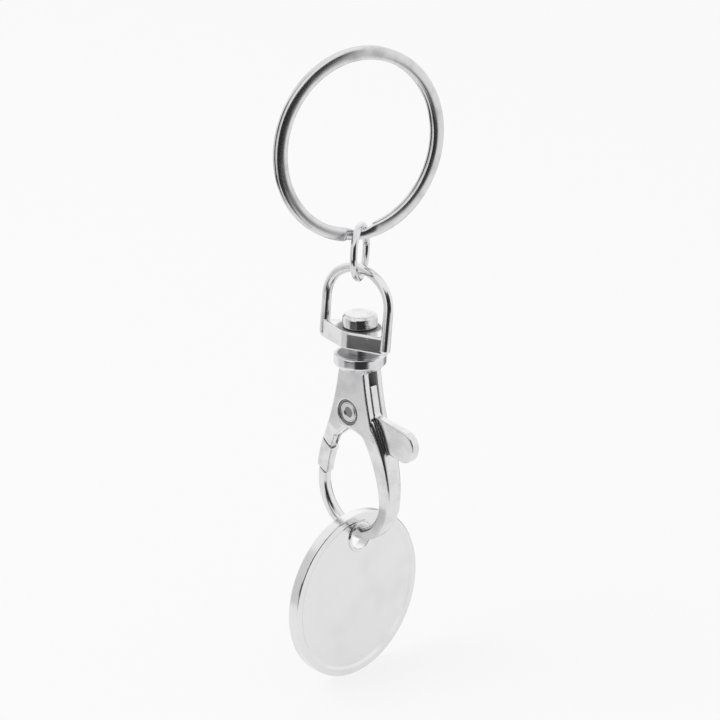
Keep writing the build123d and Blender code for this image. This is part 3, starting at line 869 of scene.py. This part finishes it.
def bar_loop(x, z, angle, width, thickness, corner_share=bar_corner_share):
    """Rounded section across the bar, at right angles to its run."""
    corner = corner_share * min(width, thickness)
    loop = []
    for side_x, side_y, first in ((1, 1, 0), (-1, 1, pi / 2), (-1, -1, pi), (1, -1, 3 * pi / 2)):
        middle = (side_x * (width / 2 - corner), side_y * (thickness / 2 - corner))
        for across, back in arc_between(middle, corner, first, first + pi / 2, 6):
            loop.append(Vector((x + across * cos(angle), back, z + across * sin(angle))))
    return loop


def nose_loop(angle, width, thickness, shift=0, corner_share=bar_corner_share):
    """Section of the bar on the nose side, at an angle up the gentle bend, shifted towards the opening."""
    reach = nose_bend_radius - shift
    x = hook_centre_x - hook_radius + nose_bend_radius - reach * cos(angle)
    return bar_loop(x, hook_centre_z + reach * sin(angle), pi - angle, width, thickness, corner_share)


bar_loops = []
for step in range(-6, 24):
    share = max(step, 0) / 24
    angle = asin(spine_root_rise / spine_bend_radius) * (1 - share) - spine_run_in * min(step, 0) / 6
    x = hook_centre_x + hook_radius - spine_bend_radius * (1 - cos(angle))
    bar_loops.append(bar_loop(x, hook_centre_z + spine_bend_radius * sin(angle), angle,
                              between(spine_root_width, spine_end_width, share),
                              between(block_thickness, spine_end_thickness, share), spine_corner_share))
for step in range(73):
    share = step / 36
    angle = pi / 2 * share
    width = np.interp(share, (0, 1, 2), (spine_end_width, hook_bottom_width, nose_width))
    thickness = np.interp(share, (0, 1, 2), (spine_end_thickness, hook_bottom_thickness, nose_thickness))
    corner_share = between(spine_corner_share, bar_corner_share, min(share, 1))
    x = hook_centre_x + hook_radius * cos(angle)
    bar_loops.append(bar_loop(x, hook_centre_z - hook_radius * sin(angle), -angle, width, thickness,
                              corner_share))
bar_loops += [nose_loop(nose_end_angle * step / 6, nose_width, nose_thickness) for step in range(1, 7)]

nose_side_x = -3.11
gate_room = [point for point in arc_between((pivot_x, pivot_z), gate_bottom_radius, pi, 3 * pi / 2, 96)
             if point[0] < nose_side_x]
gate_room_drop = sqrt(gate_bottom_radius**2 - (nose_side_x - pivot_x) ** 2)
gate_room += [(nose_side_x, pivot_z - gate_room_drop), (nose_side_x, pivot_z)]
bar = combined("DIFFERENCE", lofted(bar_loops), slab(gate_room, 2 * block_thickness))


def smooth_run(rows, steps):
    """Rows of sizes on a smooth curve through each of the given rows."""
    rows = np.array(rows)
    run = []
    for index in range(len(rows) - 1):
        start, end = rows[index], rows[index + 1]
        before, after = rows[max(index - 1, 0)], rows[min(index + 2, len(rows) - 1)]
        for share in np.arange(steps) / steps:
            run.append(start + (share * (end - before) + share**2 * (2 * before - 5 * start + 4 * end - after)
                                + share**3 * (3 * start - before - 3 * end + after)) / 2)
    return run + [rows[-1]]


arm_loops = []
for outer_x, outer_depth, inner_x, inner_depth, thickness, corner_share in smooth_run([
    (-6.82, 14.70, -4.88, 15.26, 1.50, 0.30),
    (-6.20, 13.20, -4.41, 13.91, 1.75, 0.28),
    (-5.48, 11.96, -3.88, 12.74, 2.25, 0.26),
    (-4.90, 11.05, -3.10, 12.05, 2.90, 0.20),
    (-4.47, 10.45, -2.45, 11.50, 3.38, 0.14),
    (-4.15, 9.90, -1.85, 10.95, 3.43, 0.12),
    (-3.90, 9.30, -1.10, 10.25, 3.41, 0.12),
], 5):
    across = hypot(inner_x - outer_x, inner_depth - outer_depth)
    lean = atan2(outer_depth - inner_depth, inner_x - outer_x)
    middle = at((outer_x + inner_x) / 2, (outer_depth + inner_depth) / 2)
    arm_loops.append(bar_loop(*middle, lean, across, thickness, corner_share))
arm = combined("INTERSECT", lofted(arm_loops), pivot_disc(gate_top_radius, 2 * block_thickness))

left_side = arc_through(at(-2.13, 0.645), at(-3.68, 8.3), at(-4.46, 10.69))
arch = arc_through(at(-3.11, 10.69), at(-0.67, 10.33), at(1.97, 11.0))
right_side = arc_through(at(4.26, 11.63), at(3.32, 8.3), at(2.13, 0.645))
block = edge_rounded(slab(left_side + arch + right_side, block_thickness), 0.5, 4)

flange_radius = 3.45
flange_neck_radius = 2.72
flange_rim_z = flange_top_z - 1.29
flange_bottom_z = flange_top_z - 2.02
flange = lathe([
    (0, flange_top_z, 0),
    (flange_radius, flange_top_z, 0.14),
    (flange_radius, flange_rim_z, 0.14),
    (flange_neck_radius, flange_bottom_z, 0.14),
    (0, flange_bottom_z, 0),
])

slot_thickness = 1.49
slot_corners = [at(x, depth) for x, depth in (
    (-1.14, 2.22), (8.3, 2.22), (8.3, 12.72), (5.29, 12.72), (0.73, 9.61), (-1.14, 8.09))]
slot = slab(slot_corners, slot_thickness)
hub_room = pivot_disc(1.82, slot_thickness)
spring_z = flange_top_z - 5.19
pocket_radius = 0.78
pocket_floor_x = -1.97
pocket_mouth_x = -0.98
pocket = lofted([[Vector((x, y, z)) for y, z in circle((0, spring_z), pocket_radius, 32)]
                 for x in (pocket_floor_x, pocket_mouth_x)])


def hub_point(angle, radius):
    """Point of the front view about the pivot, its angle in degrees."""
    return (pivot_x + radius * cos(radians(angle)), pivot_z + radius * sin(radians(angle)))


gate_arm_top_angle = asin(7.8 / nose_bend_radius)


def beside_nose(low_angle, outer, inner, hub_side, thickness):
    """Flat shell along the nose side bend, between two distances outwards from it, and up to the hub."""
    centre = (hook_centre_x - hook_radius + nose_bend_radius, hook_centre_z)
    low, high = pi - low_angle, pi - gate_arm_top_angle
    return slab(arc_between(centre, nose_bend_radius + outer, low, high, 16) + hub_side
                + arc_between(centre, nose_bend_radius + inner, high, low, 16), thickness)


arm_low_angle = asin(4.58 / nose_bend_radius)
channel_hub_side = [hub_point(160, 1.76), (pivot_x, pivot_z), at(0.1, 11.31)]
channel = beside_nose(arm_low_angle, 0.3, -2.34, channel_hub_side, 0.89)
pivot_bore = pivot_disc(0.85, block_thickness + 2, 64)
block = combined("DIFFERENCE", block, slot, hub_room, pocket, channel, pivot_bore)
bar = combined("DIFFERENCE", bar, slot)
arm = combined("DIFFERENCE", arm, channel, hub_room)


def on_pivot_axis(mesh, middle_y=0):
    """Lays a turned shell on the lever's pivot axis, at a distance from the middle plane."""
    for vertex in mesh.vertices:
        x, y, z = vertex.co
        vertex.co = (pivot_x + x, middle_y - z, pivot_z + y)
    return mesh


neck = 2.57
head_room_radius = 1.21
groove_middle = 1.56
groove_radius = 0.22
groove_ring_depth = 0.12
groove_floor_y = block_thickness / 2 - groove_ring_depth
groove_profile = circle((groove_middle, 0), groove_radius, 24)
for side in (-1, 1):
    for radius, floor_y in ((head_room_radius, neck / 2), (groove_middle, groove_floor_y)):
        room = slab(circle((pivot_x, pivot_z), radius, 64), block_thickness - floor_y,
                    side * (block_thickness + floor_y) / 2)
        block = combined("DIFFERENCE", block, room)
    block = combined("DIFFERENCE", block, on_pivot_axis(turned(groove_profile), side * groove_floor_y))
tail_bore_radius = 0.9
tail_bore = rod((0, 0), tail_bore_radius, swivel_tail_z, flange_top_z + 1, 48)
flange = combined("DIFFERENCE", flange, tail_bore)
block = combined("DIFFERENCE", block, tail_bore)
body_mesh = tumbled([block, flange, arm, bar], 0.09, 4, cast_nickel)

# Painted shade: the groove round the pivot, the inside of the slot and the flange's top under the eye's plate
# are darkened. Inside the slot the metal is also made matt.
flange_shade_radius = 2.95
painted_shade_strength = 0.8
slot_mattness = 0.9
places = point_values(body_mesh, "co")
x, y, z = places.T
in_slot = abs(y) < slot_thickness / 2 + 0.07
for (ax, az), (bx, bz) in zip(slot_corners, slot_corners[1:] + slot_corners[:1]):
    inwards = ((bz - az) * (x - ax) - (bx - ax) * (z - az)) / hypot(bx - ax, bz - az)
    in_slot &= inwards > -0.12
in_groove = abs(np.hypot(x - pivot_x, z - pivot_z) - groove_middle) < groove_radius
in_groove &= (abs(y) > neck / 2 - 0.1) & (abs(y) < block_thickness / 2 - 0.08)
under_plate = (z > flange_top_z - 0.1) & (np.hypot(x, y) < flange_shade_radius)
mark(body_mesh, "painted_shade", np.maximum(in_groove, painted_shade_strength * (in_slot | under_plate)))
mark(body_mesh, "matt", slot_mattness * in_slot)
hand_over("hook_body", body_mesh, "hook", "clasp_body")


# Lever pivot: a short plated steel rivet across the block, which the lever turns on.
# Its two heads lie sunk in the block and were set with a punch that leaves a dimple.
pivot_shank_radius = 0.83
pivot_head_radius = 1.19
pivot_head_height = 0.31
pivot_head_y = neck / 2 + pivot_head_height
punch_radius = 0.75
punch_depth = 0.16
punch_floor_y = pivot_head_y - punch_depth
half_profile = [(pivot_shank_radius, neck / 2, 0.03), (pivot_head_radius, neck / 2, 0.05),
                (pivot_head_radius, pivot_head_y, 0.12), (punch_radius, pivot_head_y, 0.06),
                (punch_radius - 0.12, punch_floor_y, 0.06), (0, punch_floor_y, 0)]
profile = [(radius, -y, size) for radius, y, size in reversed(half_profile)] + half_profile
pivot_mesh = crisp(on_pivot_axis(lathe(profile, 96)), turned_steel)
# Painted shade: the punch dimple in each head is darkened.
x, y, z = point_values(pivot_mesh, "co").T
in_punch_mark = (np.hypot(x - pivot_x, z - pivot_z) < punch_radius - 0.02) & (abs(y) < pivot_head_y - 0.02)
mark(pivot_mesh, "painted_shade", in_punch_mark)
hand_over("lever_pin", pivot_mesh, "hook", "pivot_rivet")


# Gate lever: thumb tab, upper arm, hub, a thin arm beside the nose and the gate block, die cast in one.
# It turns on the pivot rivet, and the gate swings into the hook opening when the tab is pushed.
lever_thickness = 1.25
hub_radius = 1.66
tab_corners = [
    (1.98, 4.05, 0.2), (1.98, 6.57, 0), (-0.65, 6.43, 0), (-0.65, 9.75, 0), (0.73, 9.28, 0),
    (5.29, 12.56, 0.3), (9.24, 13.34, 1.7), (10.69, 9.29, 2.1), (3.2, 7.96, 0.5), (2.45, 4.05, 0.2),
]
tab_outline = rounded_profile([(*at(x, depth), size) for x, depth, size in tab_corners], 8)
tab = edge_rounded(slab(tab_outline, lever_thickness), 0.14, 3, radians(60))
hub = pivot_disc(hub_radius, lever_thickness)
hub_side = [hub_point(160, hub_radius), (pivot_x, pivot_z), hub_point(265, hub_radius)]
gate_arm = beside_nose(nose_end_angle, 0.2, -0.78, hub_side, 0.73)
gate_rises = (1.45, 6.96)
gate_widths = (2.03, 2.25)
gate_thicknesses = (1.5, 1.8)
gate_shifts = (0.03, 0.24)
gate_corner_share = 0.28
gate_loops = []
for step in range(17):
    share = step / 16
    angle = asin(between(*gate_rises, share) / nose_bend_radius)
    gate_loops.append(nose_loop(angle, between(*gate_widths, share), between(*gate_thicknesses, share),
                                between(*gate_shifts, share), gate_corner_share))
gate = combined("INTERSECT", lofted(gate_loops), pivot_disc(gate_bottom_radius - gate_seam, 4))
gate = combined("DIFFERENCE", gate, pivot_disc(gate_top_radius + gate_seam, 4))
lever_bore = pivot_disc(0.87, 4, 64)
lever_shells = [combined("DIFFERENCE", shell, lever_bore) for shell in (tab, hub, gate_arm)]
lever_mesh = tumbled(lever_shells + [gate], 0.06, 3, cast_nickel)
hand_over("thumb_lever", lever_mesh, "lever", "gate_lever")


# Return spring: a small coil of hard wire that lies across the slot, from a pocket in the nose side
# wall to the lever's upper arm. It shortens when the tab is pushed.
spring_start_x = -1.835
spring_end_x = 1.865
coil, given = node_group("coil_wire", "GeometryNodeTree", {
    "Turns": 6.0, "Coil radius": 0.5, "Wire radius": 0.1, "Length": 4.0, "Start": (0, 0, 0),
}, ("Geometry",), "NodeSocketGeometry")
spiral = add_node(coil, "GeometryNodeCurveSpiral", {
    "Resolution": 32, "Rotations": given["Turns"], "Start Radius": given["Coil radius"],
    "End Radius": given["Coil radius"], "Height": given["Length"]})
section = add_node(coil, "GeometryNodeCurvePrimitiveCircle", {
    "Resolution": 14, "Radius": given["Wire radius"]})
swept = add_node(coil, "GeometryNodeCurveToMesh", {
    "Curve": spiral.outputs["Curve"], "Profile Curve": section.outputs["Curve"], "Fill Caps": True})
finish_form(coil, swept.outputs["Mesh"], (0, pi / 2, 0), given["Start"])
spring_mesh = run_tree(coil, {
    "Coil radius": 0.52,
    "Wire radius": 0.105,
    "Length": spring_end_x - spring_start_x,
    "Start": (spring_start_x, 0, spring_z),
}, spring_steel)
return_spring = hand_over("return_spring", spring_mesh, "hook", "lever_spring")
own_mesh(return_spring)


# Token: a disc punched from sheet, its faces sunk inside a raised rim and a raised eyelet round the hole.
# It hangs on the hook by the hole, a little out of plumb.
token_nickel = plated("token_nickel_plated", bright=(0.81, 0.81, 0.81), dull_and_shade=(0.74, 0.74, 0.75), smooth=0.17,
                      hazy=0.26, waviness=0.001, Cloud_size=6.0, Ripple_size=2.4, Pits=0.0)
token_radius = 11.615
token_thickness = 1.61
token_face_radius = 10.69
token_face_depth = 0.23
token_step = 0.4
token_hole_radius = 1.7
token_hole_rim_radius = 2.12
token_hole_offset = 8.13
token_tilt = radians(4.5)
token_air = 0.19
token_hole_z = hook_centre_z - hook_radius + hook_bottom_width / 2 + token_air - token_hole_radius
half = token_thickness / 2
field = half - token_face_depth
half_profile = [(token_radius, half, 0.22), (token_face_radius, half, 0.12),
                (token_face_radius - token_step, field, 0.15), (0, field, 0)]
disc_profile = [(radius, -z, size) for radius, z, size in reversed(half_profile)] + half_profile
eyelet_profile = [(radius, z, 0.12) for radius, z in (
    (token_hole_radius, -half), (token_hole_rim_radius, -half), (token_hole_rim_radius, half),
    (token_hole_radius, half))]
punched_radius = 1.9
disc = combined("DIFFERENCE", lathe(disc_profile, 256), rod((0, token_hole_offset), punched_radius, -2, 2))
eyelet = turned(rounded_profile(eyelet_profile))
for vertex in eyelet.vertices:
    vertex.co.y += token_hole_offset
build = bmesh.new()
build.from_mesh(disc)
build.from_mesh(eyelet)
bmesh.ops.triangulate(build, faces=build.faces)
bmesh.ops.dissolve_degenerate(build, dist=0.001, edges=build.edges)
for vertex in build.verts:
    across, along_disc, out = vertex.co
    along_disc -= token_hole_offset
    y = across * cos(token_tilt) + along_disc * sin(token_tilt)
    z = along_disc * cos(token_tilt) - across * sin(token_tilt)
    vertex.co = (hook_centre_x + out, y, token_hole_z + z)
token_mesh = bpy.data.meshes.new("token")
build.to_mesh(token_mesh)
build.free()
hand_over("hanging_disc", crisp(token_mesh, token_nickel), "disc", "coin_token")

low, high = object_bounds()
